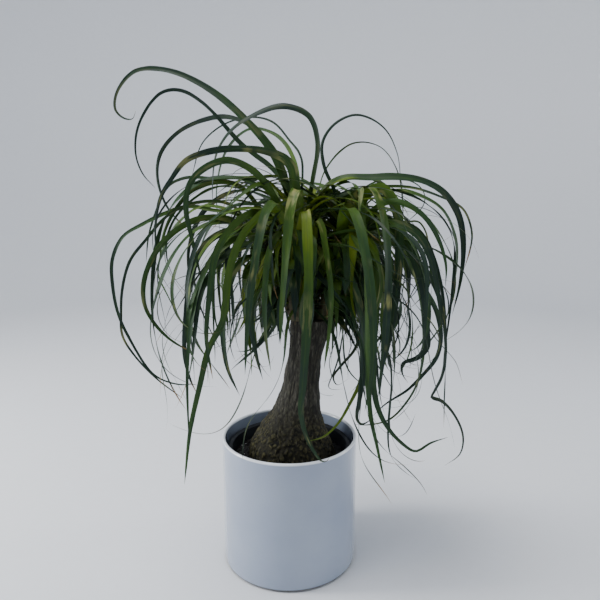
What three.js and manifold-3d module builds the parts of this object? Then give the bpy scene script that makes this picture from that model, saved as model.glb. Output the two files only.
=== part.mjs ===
// Potted ponytail palm (Beaucarnea recurvata) in a ceramic cover pot.
// Millimetres, +Z up. The origin is the middle of the pot's foot, on the surface it stands on.
// +X is the plant's right, -Y its front.

import * as THREE from 'three';
import { mergeVertices } from 'three/addons/utils/BufferGeometryUtils.js';
import Module from 'manifold-3d';

const wasm = await Module();
wasm.setup();

// ---- driving dimensions ----

const GAP = 0.3; // clearance between pieces that touch in the real object

const COVER_RADIUS = 95;
const COVER_HEIGHT = 186;
const COVER_WALL = 4.5;
const COVER_FLOOR = 8; // height of the inside floor
const FOOT_RING_WIDTH = 8;
const FOOT_RECESS = 3;
const FOOT_EDGE = 2;
const COVE = 4; // round between the cover pot's inside wall and its floor

const NURSERY_TOP = 171;
const NURSERY_RIM_RADIUS = 86.5;
const NURSERY_RIM_DEPTH = 5;
const NURSERY_TOP_RADIUS = 83;
const NURSERY_FOOT_RADIUS = 66;
const NURSERY_WALL = 1.5;
const NURSERY_FOOT_EDGE = 2; // the chamfer round its foot
const NURSERY_RIM_EDGE = 1; // the chamfer round its rim
const DRAIN_RADIUS = 4.5;
const DRAIN_CIRCLE = 48;
const DRAIN_COUNT = 8;

const SOIL_EDGE_TOP = 153;
const SOIL_MIDDLE_TOP = 157; // the soil is heaped a little against the caudex
const SOIL_HEAP_RADIUS = 70;
const SOIL_FOOT_EDGE = 1;

const TRUNK_TOP = 355; // the sawn end
const WIDE_LOBES = { count: 3, share: 0.03, phase: 0.6 }; // the trunk's section isn't quite round
const NARROW_LOBES = { count: 7, share: 0.018, heightPerRadian: 60 }; // these wind up the trunk
const SHOOT_TIP_SHARE = 0.5; // radius of a shoot's last ring, as a share of the ring before

const POT_SIDES = 64;
const DRAIN_SIDES = 12;
const TRUNK_SIDES = 28;
const SHOOT_SIDES = 10;
const SHOOT_STEPS = 8;

const RINGS_PER_STRETCH = 3; // rings of a leaf between two points of its route
const LEAF_TIP_WIDTH = 1.4;
const USUAL_TAPER = 3; // the power of its length by which a leaf narrows
const CHANNEL_SHARE = 0.2; // depth of a leaf's channel, as a share of its width
const CHANNEL_LEAST = 0.3;
const LEAF_CLEARANCE = 0.5; // from a leaf's root to the shoot it grows on
const TURN_IN = 0.25; // share of a leaf's length over which its first turn comes in

// ---- helpers ----

const radians = THREE.MathUtils.degToRad;
const point = ([x, y, z]) => new THREE.Vector3(x, y, z);

/** A closed solid through rings of equal point counts, each running anticlockwise seen from its end. */
function loft(rings) {
  const sides = rings[0].length;
  const positions = rings.flat().flatMap((p) => [p.x, p.y, p.z]);
  const faces = [];
  for (let ring = 0; ring + 1 < rings.length; ring += 1) {
    for (let side = 0; side < sides; side += 1) {
      const next = (side + 1) % sides;
      const [a, b] = [ring * sides + side, ring * sides + next];
      faces.push(a, b, b + sides, a, b + sides, a + sides);
    }
  }
  const last = (rings.length - 1) * sides;
  for (let side = 1; side + 1 < sides; side += 1) {
    faces.push(0, side + 1, side);
    faces.push(last, last + side, last + side + 1);
  }
  const geometry = new THREE.BufferGeometry();
  geometry.setAttribute('position', new THREE.Float32BufferAttribute(positions, 3));
  geometry.setIndex(faces);
  return geometry;
}

/** A profile of [radius, height] points turned about Z. */
function turned(profile) {
  const points = profile.map(([radius, height]) => new THREE.Vector2(radius, height));
  const geometry = new THREE.LatheGeometry(points, POT_SIDES);
  return geometry.rotateX(Math.PI / 2);
}

/** Points on a quarter or half round, from one angle to another in degrees. */
function arc(centreRadius, centreHeight, radius, from, to, steps) {
  const points = [];
  for (let step = 0; step <= steps; step += 1) {
    const angle = radians(from + ((to - from) * step) / steps);
    points.push([centreRadius + radius * Math.cos(angle), centreHeight + radius * Math.sin(angle)]);
  }
  return points;
}

function toSolid(geometry) {
  const bare = geometry.clone();
  bare.deleteAttribute('normal');
  bare.deleteAttribute('uv');
  const merged = mergeVertices(bare, 1e-3);
  const mesh = new wasm.Mesh({
    numProp: 3,
    vertProperties: new Float32Array(merged.attributes.position.array),
    triVerts: new Uint32Array(merged.index.array),
  });
  mesh.merge();
  return new wasm.Manifold(mesh);
}

function fromSolid(solid) {
  const mesh = solid.getMesh();
  const geometry = new THREE.BufferGeometry();
  geometry.setAttribute('position', new THREE.BufferAttribute(new Float32Array(mesh.vertProperties), 3));
  geometry.setIndex(new THREE.BufferAttribute(new Uint32Array(mesh.triVerts), 1));
  return geometry;
}

function named(name, geometry, material) {
  const mesh = new THREE.Mesh(geometry, material.clone());
  mesh.name = name;
  return mesh;
}

const glaze = new THREE.MeshStandardMaterial({ color: 0xdde2e6, roughness: 0.15, metalness: 0 });
const plastic = new THREE.MeshStandardMaterial({ color: 0x161616, roughness: 0.5, metalness: 0 });
const earth = new THREE.MeshStandardMaterial({ color: 0x1d1611, roughness: 1, metalness: 0 });
const bark = new THREE.MeshStandardMaterial({ color: 0x6f6250, roughness: 0.9, metalness: 0 });
const youngStem = new THREE.MeshStandardMaterial({ color: 0x7b6a3f, roughness: 0.8, metalness: 0 });
const blade = new THREE.MeshStandardMaterial({ color: 0x35592e, roughness: 0.45, metalness: 0 });

// ---- pots and soil ----

function coverPot() {
  const inner = COVER_RADIUS - COVER_WALL;
  const lip = COVER_WALL / 2;
  const ringInner = COVER_RADIUS - FOOT_EDGE - FOOT_RING_WIDTH;
  return turned([
    [0, FOOT_RECESS],
    [ringInner - FOOT_RECESS / 2, FOOT_RECESS],
    [ringInner, 0],
    ...arc(COVER_RADIUS - FOOT_EDGE, FOOT_EDGE, FOOT_EDGE, -90, 0, 3),
    ...arc(COVER_RADIUS - lip, COVER_HEIGHT - lip, lip, 0, 180, 6),
    ...arc(inner - COVE, COVER_FLOOR + COVE, COVE, 0, -90, 2),
    [0, COVER_FLOOR],
  ]);
}

/** Outside radius of the nursery pot's sloping wall at a height. */
function nurseryRadius(height) {
  const rise = (height - COVER_FLOOR) / (NURSERY_TOP - COVER_FLOOR);
  return NURSERY_FOOT_RADIUS + (NURSERY_TOP_RADIUS - NURSERY_FOOT_RADIUS) * rise;
}

function nurseryPot() {
  const bottom = COVER_FLOOR + GAP;
  const rimUnderside = NURSERY_TOP - NURSERY_RIM_DEPTH;
  const drillLength = 4 * NURSERY_WALL; // it stands proud of the floor on both sides
  let solid = toSolid(turned([
    [0, bottom],
    [nurseryRadius(bottom) - NURSERY_FOOT_EDGE, bottom],
    [nurseryRadius(bottom + NURSERY_FOOT_EDGE), bottom + NURSERY_FOOT_EDGE],
    [nurseryRadius(rimUnderside), rimUnderside],
    [NURSERY_RIM_RADIUS, rimUnderside],
    [NURSERY_RIM_RADIUS, NURSERY_TOP - NURSERY_RIM_EDGE],
    [NURSERY_RIM_RADIUS - NURSERY_RIM_EDGE, NURSERY_TOP],
    [nurseryRadius(NURSERY_TOP) - NURSERY_WALL, NURSERY_TOP],
    [nurseryRadius(bottom) - NURSERY_WALL, bottom + NURSERY_WALL],
    [0, bottom + NURSERY_WALL],
  ]));
  for (let hole = 0; hole < DRAIN_COUNT; hole += 1) {
    const angle = (hole * 2 * Math.PI) / DRAIN_COUNT;
    const drill = new THREE.CylinderGeometry(DRAIN_RADIUS, DRAIN_RADIUS, drillLength, DRAIN_SIDES);
    drill.rotateX(Math.PI / 2);
    drill.translate(DRAIN_CIRCLE * Math.cos(angle), DRAIN_CIRCLE * Math.sin(angle), bottom);
    solid = solid.subtract(toSolid(drill));
  }
  return fromSolid(solid);
}

/** Fills the nursery pot, with a socket for the caudex. */
function soil() {
  const bottom = COVER_FLOOR + GAP + NURSERY_WALL + GAP;
  const inset = NURSERY_WALL + GAP;
  const block = toSolid(turned([
    [0, bottom],
    [nurseryRadius(bottom) - inset - SOIL_FOOT_EDGE, bottom],
    [nurseryRadius(SOIL_EDGE_TOP) - inset, SOIL_EDGE_TOP],
    [SOIL_HEAP_RADIUS, SOIL_MIDDLE_TOP],
    [0, SOIL_MIDDLE_TOP],
  ]));
  return fromSolid(block.subtract(toSolid(trunk(GAP))));
}

// ---- trunk ----

// Height, sideways lean of the centre, and radius, up the trunk.
const TRUNK_STATIONS = [
  { height: 92, lean: 6, radius: 24 },
  { height: 97, lean: 6, radius: 42 },
  { height: 112, lean: 5, radius: 58 },
  { height: 135, lean: 4, radius: 65 },
  { height: 157, lean: 3, radius: 62 },
  { height: 178, lean: 2, radius: 56 },
  { height: 200, lean: 4, radius: 46 },
  { height: 220, lean: 9, radius: 36 },
  { height: 240, lean: 13, radius: 30 },
  { height: 262, lean: 16, radius: 26 },
  { height: 285, lean: 19, radius: 24.5 },
  { height: 305, lean: 22, radius: 24 },
  { height: 325, lean: 26, radius: 25.5 },
  { height: 345, lean: 28, radius: 28 },
  { height: TRUNK_TOP, lean: 29, radius: 27.5 },
];

/** How far the trunk's section stands out from a circle, as a share of its radius. */
function lobes(angle, height) {
  const wide = WIDE_LOBES.share * Math.cos(WIDE_LOBES.count * angle + WIDE_LOBES.phase);
  const turn = height / NARROW_LOBES.heightPerRadian;
  return wide + NARROW_LOBES.share * Math.cos(NARROW_LOBES.count * angle + turn);
}

/** The trunk and its swollen foot, grown as one piece. A margin makes it larger, to cut its socket. */
function trunk(margin = 0) {
  const rings = TRUNK_STATIONS.map(({ height, lean, radius }, station) => {
    const ring = [];
    const sink = station === 0 ? -margin : 0;
    for (let side = 0; side < TRUNK_SIDES; side += 1) {
      const angle = (side * 2 * Math.PI) / TRUNK_SIDES;
      const reach = radius * (1 + lobes(angle, height)) + margin;
      ring.push(point([lean + reach * Math.cos(angle), reach * Math.sin(angle), height + sink]));
    }
    return ring;
  });
  return loft(rings);
}

// ---- shoots ----

// Each shoot grows from the shoulder of the sawn top. Its route runs from root to growing tip.
const SHOOTS = {
  main: {
    radii: [11, 8],
    route: [[14, -12, TRUNK_TOP + GAP], [9, -13, 400], [12, -10, 450], [16, -8, 500]],
  },
  right: {
    radii: [10, 7],
    route: [[46, -4, TRUNK_TOP + GAP], [60, -4, 400], [72, -1, 445], [80, 2, 485]],
  },
  left: {
    radii: [7.5, 5.5],
    route: [[8, 12, TRUNK_TOP + GAP], [-12, 14, 395], [-28, 10, 435], [-38, 6, 468]],
  },
  back: {
    radii: [8.5, 6],
    route: [[32, 17, TRUNK_TOP + GAP], [37, 38, 400], [36, 56, 440], [32, 66, 478]],
  },
};

function shootCurve({ route }) {
  return new THREE.CatmullRomCurve3(route.map(point), false, 'centripetal');
}

function shootRadius({ radii }, along) {
  return THREE.MathUtils.lerp(radii[0], radii[1], along);
}

/** A round stem. Its lowest ring is level, so that it stands flat on the sawn top. */
function shoot(stem) {
  const curve = shootCurve(stem);
  const up = new THREE.Vector3(0, 0, 1);
  const rings = [];
  for (let step = 0; step <= SHOOT_STEPS; step += 1) {
    const along = step / SHOOT_STEPS;
    const axis = step === 0 ? up : curve.getTangentAt(along);
    const tilt = new THREE.Quaternion().setFromUnitVectors(up, axis);
    const radius = shootRadius(stem, along) * (step === SHOOT_STEPS ? SHOOT_TIP_SHARE : 1);
    const ring = [];
    for (let side = 0; side < SHOOT_SIDES; side += 1) {
      const angle = (side * 2 * Math.PI) / SHOOT_SIDES;
      const spoke = new THREE.Vector3(radius * Math.cos(angle), radius * Math.sin(angle), 0);
      ring.push(spoke.applyQuaternion(tilt).add(curve.getPointAt(along)));
    }
    rings.push(ring);
  }
  return loft(rings);
}

// ---- leaves ----

// For each shoot, its leaves: how far up the shoot a leaf is rooted (0 to 1), its greatest width,
// how far its face turns about its own length at the root and at the tip, in degrees, and the
// route of its midrib from just off the shoot to the tip. A taper is given where a leaf narrows
// sooner than most: the smaller it is, the sooner.
const LEAVES = {
  main: [
    { at: 0.97, width: 12.5, taper: 1.7, turn: [-70, -90],
      route: [[-18, 0, 570], [-58, 10, 618], [-105, 20, 656], [-155, 25, 678], [-200, 30, 678],
        [-225, 30, 652], [-228, 28, 630], [-217, 26, 619], [-205, 24, 618], [-200, 23, 628]] },
    { at: 0.91, width: 8, taper: 1.3, turn: [-55, 5],
      route: [[-14, 28, 545], [-65, 42, 587], [-113, 45, 638], [-145, 46, 656], [-172, 46, 652],
        [-202, 45, 613], [-208, 42, 575], [-200, 41, 548], [-183, 40, 528]] },
    { at: 0.86, width: 7.5, turn: [60, 50],
      route: [[-18, 10, 560], [-43, 30, 601], [-70, 45, 619], [-101, 60, 623], [-154, 78, 606],
        [-184, 85, 576], [-191, 88, 542], [-179, 88, 500], [-148, 85, 464]] },
    { at: 1, width: 10, turn: [-55, 0],
      route: [[33, -10, 545], [38, -12, 585], [27, -16, 618], [-5, -20, 630], [-40, -24, 620],
        [-70, -32, 600], [-88, -38, 572], [-94, -40, 530], [-94, -38, 506]] },
    { at: 0.93, width: 3, turn: [0, -40],
      route: [[17, 15, 566], [0, 35, 592], [-22, 55, 616], [-52, 72, 624], [-95, 92, 615],
        [-128, 105, 589], [-145, 112, 544]] },
    { at: 0.78, width: 15, taper: 1.1, turn: [35, 30],
      route: [[3, -36, 558], [-22, -44, 573], [-60, -50, 577], [-92, -54, 574], [-122, -56, 563],
        [-140, -57, 542], [-155, -57, 518], [-163, -55, 485], [-165, -52, 445]] },
    { at: 0.72, width: 9, turn: [70, 60],
      route: [[-21, -35, 525], [-42, -50, 551], [-71, -65, 563], [-99, -78, 552], [-114, -85, 534],
        [-118, -88, 506], [-114, -88, 480], [-102, -85, 416]] },
    { at: 0.76, width: 5, turn: [80, 60],
      route: [[-14, 6, 518], [-30, 22, 538], [-64, 40, 542], [-106, 52, 541], [-144, 62, 542],
        [-172, 68, 530], [-188, 70, 502], [-204, 72, 460], [-210, 72, 420]] },
    { at: 0.7, width: 13, turn: [5, -20],
      route: [[12, -42, 528], [5, -62, 512], [0, -76, 470], [-4, -82, 425], [-8, -82, 375],
        [-9, -80, 340]] },
    { at: 0.62, width: 13, turn: [20, 15],
      route: [[21, -48, 502], [24, -74, 468], [25, -90, 410], [22, -97, 350], [18, -100, 290],
        [16, -101, 260], [22, -101, 230], [32, -101, 208], [41, -99, 194], [48, -96, 191],
        [53, -93, 196]] },
    { at: 0.6, width: 10.5, turn: [70, 80],
      route: [[-16, -50, 505], [-50, -68, 480], [-70, -76, 435], [-80, -80, 370], [-98, -82, 335],
        [-110, -82, 290], [-125, -82, 228], [-136, -80, 150]] },
    { at: 0.53, width: 10, turn: [-50, -60],
      route: [[-25, -36, 498], [-57, -75, 494], [-82, -100, 460], [-91, -110, 410],
        [-96, -112, 354], [-90, -110, 305]] },
    { at: 0.45, width: 8.5, turn: [-30, -30],
      route: [[-8, -40, 475], [-22, -58, 455], [-28, -68, 410], [-28, -70, 350], [-22, -66, 300]] },
    { at: 0.55, width: 9, turn: [45, 50],
      route: [[38, -32, 490], [48, -48, 450], [54, -56, 400], [52, -58, 350], [46, -56, 300]] },
    { at: 0.88, width: 14, taper: 2, turn: [-40, 130],
      route: [[46, -3, 528], [70, -11, 541], [105, -13, 542], [140, -14, 543], [173, -14, 538],
        [200, -15, 523], [220, -15, 495], [229, -14, 455], [228, -12, 405], [220, -10, 360]] },
    { at: 0.66, width: 11, turn: [0, 0],
      route: [[-10, -46, 508], [-24, -108, 505], [-34, -148, 455], [-42, -164, 390],
        [-46, -164, 330]] },
    { at: 0.83, width: 6, turn: [-20, -50],
      route: [[10, 30, 555], [-18, 80, 600], [-60, 110, 610], [-95, 125, 580], [-112, 132, 520],
        [-108, 132, 455]] },
  ],
  right: [
    { at: 0.98, width: 5.5, taper: 1.2, turn: [70, 40],
      route: [[60, 4, 525], [46, 5, 558], [44, 7, 587], [59, 9, 610], [85, 11, 622], [108, 12, 617],
        [129, 13, 601], [144, 13, 570], [150, 13, 536], [159, 13, 523]] },
    { at: 0.97, width: 4, turn: [50, 60],
      route: [[108, 14, 524], [158, 24, 530], [200, 8, 518], [228, -6, 502], [240, -10, 472],
        [239, -10, 450], [233, -10, 425]] },
    { at: 0.95, width: 3, turn: [0, 30],
      route: [[88, 24, 515], [132, 48, 541], [168, 64, 538], [186, 70, 528], [193, 72, 516],
        [191, 72, 502], [167, 68, 478]] },
    { at: 0.9, width: 11, turn: [-40, -30],
      route: [[104, 5, 508], [138, -20, 526], [168, -30, 519], [195, -32, 502], [212, -33, 468],
        [216, -33, 430], [212, -32, 385]] },
    { at: 0.78, width: 8.5, turn: [-50, -60],
      route: [[102, -30, 495], [120, -66, 514], [140, -84, 512], [160, -92, 498], [177, -95, 472],
        [187, -96, 442], [188, -95, 415]] },
    { at: 0.64, width: 10, turn: [60, 75],
      route: [[106, -22, 476], [136, -62, 487], [160, -70, 472], [176, -73, 440], [184, -73, 408],
        [193, -72, 355]] },
    { at: 0.84, width: 3.5, turn: [50, 60],
      route: [[104, 50, 490], [145, 80, 482], [172, 92, 478], [191, 96, 477], [205, 98, 452],
        [197, 97, 420], [177, 94, 409]] },
    { at: 0.72, width: 8.5, turn: [-70, -50],
      route: [[104, 14, 472], [142, 40, 456], [176, 60, 412], [198, 65, 381], [216, 66, 350],
        [225, 66, 310], [220, 65, 278], [200, 64, 250], [189, 63, 238], [176, 60, 227],
        [144, 54, 208], [124, 50, 190]] },
    { at: 0.76, width: 14.5, turn: [60, 70],
      route: [[112, -2, 490], [144, -18, 474], [168, -26, 430], [180, -26, 385], [183, -24, 345],
        [185, -22, 318], [172, -22, 304], [154, -23, 297], [153, -26, 284], [161, -28, 271]] },
    { at: 0.71, width: 7.5, turn: [-50, -30],
      route: [[112, -14, 482], [160, -38, 480], [190, -41, 425], [203, -42, 360], [206, -42, 325],
        [202, -42, 285], [193, -42, 264], [190, -42, 256], [204, -42, 250], [222, -42, 230],
        [235, -42, 200], [232, -42, 174], [212, -42, 157]] },
    { at: 0.54, width: 10, turn: [-60, -90],
      route: [[88, -38, 472], [106, -58, 455], [110, -66, 400], [108, -64, 320], [114, -62, 257],
        [129, -62, 223], [151, -62, 198], [168, -62, 188], [188, -62, 200], [210, -62, 208]] },
    { at: 0.62, width: 9, turn: [60, 40],
      route: [[105, 30, 480], [150, 48, 462], [182, 52, 400], [196, 50, 320], [190, 47, 250],
        [172, 45, 213], [147, 44, 187], [113, 46, 178], [97, 48, 178]] },
    { at: 0.46, width: 10, turn: [-50, -70],
      route: [[76, -42, 468], [94, -66, 450], [98, -78, 395], [99, -78, 310], [106, -75, 240],
        [114, -74, 205], [127, -72, 147]] },
    { at: 0.86, width: 14.5, turn: [40, 75],
      route: [[84, -30, 518], [101, -52, 530], [113, -78, 500], [119, -92, 445], [119, -97, 385],
        [116, -96, 325], [112, -92, 275]] },
    { at: 0.96, width: 13, turn: [-50, -65],
      route: [[98, -20, 519], [118, -33, 530], [136, -42, 500], [139, -49, 440], [136, -50, 385],
        [130, -50, 335], [121, -48, 288]] },
    { at: 0.3, width: 11.5, turn: [-60, -80],
      route: [[66, -26, 425], [78, -42, 418], [93, -52, 372], [98, -53, 320], [94, -52, 262],
        [91, -50, 228], [97, -50, 221], [113, -50, 230]] },
    { at: 0.42, width: 6.5, turn: [30, 40],
      route: [[90, -12, 440], [106, -28, 430], [108, -38, 390], [102, -40, 335], [95, -42, 280],
        [80, -42, 244], [66, -48, 222], [46, -58, 207], [24, -64, 203]] },
    { at: 0.34, width: 5.5, turn: [0, 20],
      route: [[80, 10, 420], [93, 16, 414], [101, 20, 385], [101, 22, 345], [93, 20, 306],
        [74, 18, 282], [62, 16, 264], [68, 16, 252], [86, 18, 262]] },
    { at: 0.79, width: 4, turn: [-60, -70],
      route: [[110, 24, 496], [162, 8, 445], [180, -8, 385], [190, -9, 342], [208, -10, 318],
        [228, -10, 295], [240, -10, 262]] },
    { at: 0.66, width: 14, turn: [30, 45],
      route: [[70, -46, 500], [78, -100, 502], [88, -142, 455], [94, -162, 395], [95, -165, 335],
        [88, -160, 285]] },
    { at: 0.9, width: 9.5, turn: [30, 60],
      route: [[96, 62, 518], [132, 100, 520], [165, 120, 480], [178, 126, 410], [172, 124, 340]] },
  ],
  left: [
    { at: 0.97, width: 6.5, turn: [-20, -50],
      route: [[-42, -4, 508], [-65, -10, 533], [-92, -12, 537], [-124, -14, 526], [-150, -15, 496],
        [-164, -15, 465], [-171, -15, 425]] },
    { at: 0.8, width: 5.5, turn: [-60, -85],
      route: [[-66, 6, 492], [-101, 6, 500], [-132, 6, 505], [-164, 6, 496], [-196, 6, 481],
        [-222, 6, 465], [-238, 6, 434], [-240, 6, 400], [-235, 6, 360], [-222, 6, 325],
        [-190, 6, 271], [-158, 6, 257], [-130, 6, 257]] },
    { at: 0.88, width: 4.5, turn: [60, 50],
      route: [[-72, -10, 506], [-112, -18, 512], [-152, -20, 497], [-187, -20, 461], [-207, -20, 436],
        [-219, -20, 400], [-223, -20, 365], [-223, -20, 335], [-209, -20, 308], [-181, -20, 275],
        [-146, -20, 246]] },
    { at: 0.7, width: 8.5, turn: [50, 45],
      route: [[-66, -24, 486], [-112, -52, 492], [-152, -68, 465], [-174, -75, 424],
        [-176, -77, 392], [-166, -77, 368], [-146, -76, 345], [-118, -72, 326]] },
    { at: 0.66, width: 5, turn: [0, -30],
      route: [[-66, 40, 488], [-130, 75, 500], [-180, 100, 455], [-202, 110, 400], [-190, 110, 366],
        [-172, 108, 328]] },
    { at: 0.64, width: 9.5, turn: [40, 50],
      route: [[-56, -30, 476], [-92, -50, 470], [-112, -62, 445], [-122, -66, 410],
        [-128, -66, 370], [-132, -64, 322], [-127, -62, 290], [-118, -60, 266]] },
    { at: 0.45, width: 11, turn: [-40, -80],
      route: [[-44, -12, 440], [-64, -32, 432], [-76, -45, 405], [-84, -48, 355], [-80, -48, 300],
        [-65, -45, 260]] },
    { at: 0.3, width: 9.5, turn: [30, 55],
      route: [[-20, -20, 415], [-36, -36, 405], [-48, -42, 370], [-42, -44, 315],
        [-34, -42, 280]] },
  ],
  back: [
    { at: 0.95, width: 12, turn: [0, 0],
      route: [[31, 98, 515], [35, 138, 512], [39, 162, 465], [41, 165, 400], [38, 158, 335]] },
    { at: 0.85, width: 11.5, turn: [0, 0],
      route: [[2, 92, 505], [-38, 124, 508], [-70, 148, 468], [-82, 156, 405], [-78, 152, 335]] },
    { at: 0.88, width: 12, turn: [0, 0],
      route: [[62, 88, 508], [103, 115, 505], [130, 138, 460], [140, 148, 400], [134, 146, 330]] },
    { at: 0.75, width: 9, turn: [30, 40],
      route: [[-10, 84, 500], [-76, 95, 522], [-128, 104, 492], [-154, 108, 430],
        [-150, 106, 360]] },
    { at: 0.6, width: 9, turn: [0, 0],
      route: [[20, 92, 480], [6, 118, 462], [-5, 132, 410], [-8, 134, 350], [0, 124, 290]] },
    { at: 0.92, width: 5.5, turn: [0, 20],
      route: [[48, 74, 545], [88, 80, 588], [130, 86, 584], [158, 92, 545], [168, 96, 480]] },
  ],
};

/** Width along a leaf from root (0) to tip (1): full at first, then a long even taper. */
function widthAt({ width, taper = USUAL_TAPER }, along) {
  return LEAF_TIP_WIDTH + (width - LEAF_TIP_WIDTH) * (1 - along ** taper);
}

/** Depth of the channel of a leaf of this width, from margins to keel. */
function depthOf(width) {
  return CHANNEL_SHARE * width + CHANNEL_LEAST;
}

/** The midrib's curve, starting on the side of the shoot that faces the route's first point. */
function leafCurve(stem, { at, width, route }) {
  const stemCurve = shootCurve(stem);
  const axis = stemCurve.getPointAt(at);
  const up = stemCurve.getTangentAt(at);
  const outward = point(route[0]).sub(axis).projectOnPlane(up).normalize();
  const offset = shootRadius(stem, at) + LEAF_CLEARANCE + depthOf(width) / 2;
  const root = axis.addScaledVector(outward, offset);
  return new THREE.CatmullRomCurve3([root, ...route.map(point)], false, 'centripetal');
}

/** A channelled leaf: each ring is its two margins and its keel. The channel faces the stem. */
function leaf(stem, sketch) {
  const curve = leafCurve(stem, sketch);
  const steps = RINGS_PER_STRETCH * sketch.route.length;
  const lengths = curve.getLengths(steps);
  const face = shootCurve(stem).getPointAt(sketch.at).sub(curve.getPoint(0)); // towards the stem
  const rings = [];
  for (let step = 0; step <= steps; step += 1) {
    const along = lengths[step] / lengths[steps];
    const centre = curve.getPoint(step / steps);
    const tangent = curve.getTangent(step / steps);
    face.projectOnPlane(tangent).normalize(); // carried on from ring to ring without twisting
    const turn = radians(THREE.MathUtils.lerp(...sketch.turn, along) * Math.min(1, along / TURN_IN));
    const channel = face.clone().applyAxisAngle(tangent, turn);
    const side = new THREE.Vector3().crossVectors(tangent, channel);
    const width = widthAt(sketch, along);
    const depth = depthOf(width);
    rings.push([
      centre.clone().addScaledVector(side, -width / 2).addScaledVector(channel, depth / 2),
      centre.clone().addScaledVector(side, width / 2).addScaledVector(channel, depth / 2),
      centre.clone().addScaledVector(channel, -depth / 2),
    ]);
  }
  return loft(rings);
}

// ---- the whole plant ----

const palm = new THREE.Group();
palm.add(named('cover_pot', coverPot(), glaze));
palm.add(named('nursery_pot', nurseryPot(), plastic));
palm.add(named('soil', soil(), earth));
palm.add(named('trunk', trunk(), bark));
for (const [shootName, stem] of Object.entries(SHOOTS)) {
  palm.add(named(`shoot_${shootName}`, shoot(stem), youngStem));
  LEAVES[shootName].forEach((sketch, index) => {
    const number = String(index + 1).padStart(2, '0');
    palm.add(named(`leaf_${shootName}_${number}`, leaf(stem, sketch), blade));
  });
}

export default palm;
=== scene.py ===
"""A potted ponytail palm, drawn around its CAD frame. Metres, +Z up, the front faces -Y.

Each leaf of the frame is redrawn as a fine channelled blade along the rings of its CAD solid.
The plant has many more leaves than the frame. Those are grown here from the frame's shoots: each
leaves its shoot at an angle, arches over under its own weight, hangs, and may curl at its tip.
"""

import math

import bmesh
import bpy
import numpy as np
from mathutils import Matrix, Vector, noise


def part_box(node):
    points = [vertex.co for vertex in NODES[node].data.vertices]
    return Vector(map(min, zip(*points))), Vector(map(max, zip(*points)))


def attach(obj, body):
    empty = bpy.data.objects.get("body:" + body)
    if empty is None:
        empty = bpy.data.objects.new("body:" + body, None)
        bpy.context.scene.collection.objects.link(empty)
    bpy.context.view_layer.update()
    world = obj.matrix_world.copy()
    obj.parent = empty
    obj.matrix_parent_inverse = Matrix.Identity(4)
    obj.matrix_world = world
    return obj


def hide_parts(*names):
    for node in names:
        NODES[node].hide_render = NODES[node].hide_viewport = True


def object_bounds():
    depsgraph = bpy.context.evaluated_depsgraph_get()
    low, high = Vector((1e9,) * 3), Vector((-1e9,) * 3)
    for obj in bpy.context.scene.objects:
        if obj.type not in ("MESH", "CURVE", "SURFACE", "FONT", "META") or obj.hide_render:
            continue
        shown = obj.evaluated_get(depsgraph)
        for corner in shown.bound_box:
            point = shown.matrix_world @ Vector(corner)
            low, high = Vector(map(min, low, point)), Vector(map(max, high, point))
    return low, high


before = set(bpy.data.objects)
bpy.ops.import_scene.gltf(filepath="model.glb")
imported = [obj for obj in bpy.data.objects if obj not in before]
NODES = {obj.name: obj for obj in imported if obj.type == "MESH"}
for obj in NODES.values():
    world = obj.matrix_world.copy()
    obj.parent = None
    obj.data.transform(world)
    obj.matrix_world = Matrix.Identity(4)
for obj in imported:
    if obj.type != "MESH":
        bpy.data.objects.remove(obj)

MM = 0.001
CAD_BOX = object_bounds()
SHOOTS = ("main", "right", "left", "back")
SEED = 11  # of everything that is drawn by chance

# ---- driving values, in metres unless a name or a comment says otherwise ----

CAMERA_PLACE = (0.015, -0.797, 0.549)
CAMERA_TILT_DEGREES = 78  # from straight down
CAMERA_LENS_MM = 36
SENSOR_MM = 36

LIT_PLACE = (0, 0, 0.35)  # where every lamp points
LAMPS = {  # place, width and height, watts, colour
    "window": ((-1.6, -0.05, 0.7), (0.35, 1.5), 30, (0.98, 0.99, 1.0)),
    "ceiling": ((-0.4, -0.1, 2.3), (1.0, 1.0), 36, (1.0, 1.0, 1.0)),
    "fill": ((1.7, 0.3, 0.6), (0.3, 1.0), 6, (0.9, 0.95, 1.0)),
}
SKY_COLOUR, SKY_STRENGTH = (0.80, 0.87, 1.0), 0.4
FLOOR_FLAT, FLOOR_CURVE, FLOOR_TOP = 1.9, 0.9, 2.6  # flat radius, radius of the turn-up, top edge
FLOOR_GAP = 0.5 * MM  # between the floor and the pot's foot
FLOOR_WALL, FLOOR_UNDERSIDE = 20 * MM, -30 * MM
FLOOR_STEPS = 96

POT_STEPS = 160  # points round a pot
COVER_WALL = 4.5 * MM
COVER_FLOOR = 8 * MM
COVER_COVE = 4 * MM  # radius between the wall and the floor, inside
COVER_ROWS = (26, 20)  # up the wall outside, and down it inside
FOOT_ROUND, FOOT_RING, FOOT_RECESS = 4 * MM, 6 * MM, 3 * MM  # rounding, width, hollow's depth
RING_ROUND = 0.4 * MM  # radius of the foot ring's inner edge
FOOT_SHADOW_HEIGHT = 4.5 * MM  # height of the dark band of painted shadow round the foot
NURSERY_WALL = 1.5 * MM
NURSERY_CORNER = 2 * MM  # radius round its foot
NURSERY_ROWS = 24
NURSERY_RIM_DEPTH = 5 * MM
RIM_SLANT, RIM_FLARE = 0.2 * MM, 0.4 * MM  # of the rim's underside, and of its mouth
DRAIN_COUNT, DRAIN_RADIUS, DRAIN_CIRCLE = 8, 4.5 * MM, 48 * MM

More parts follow.
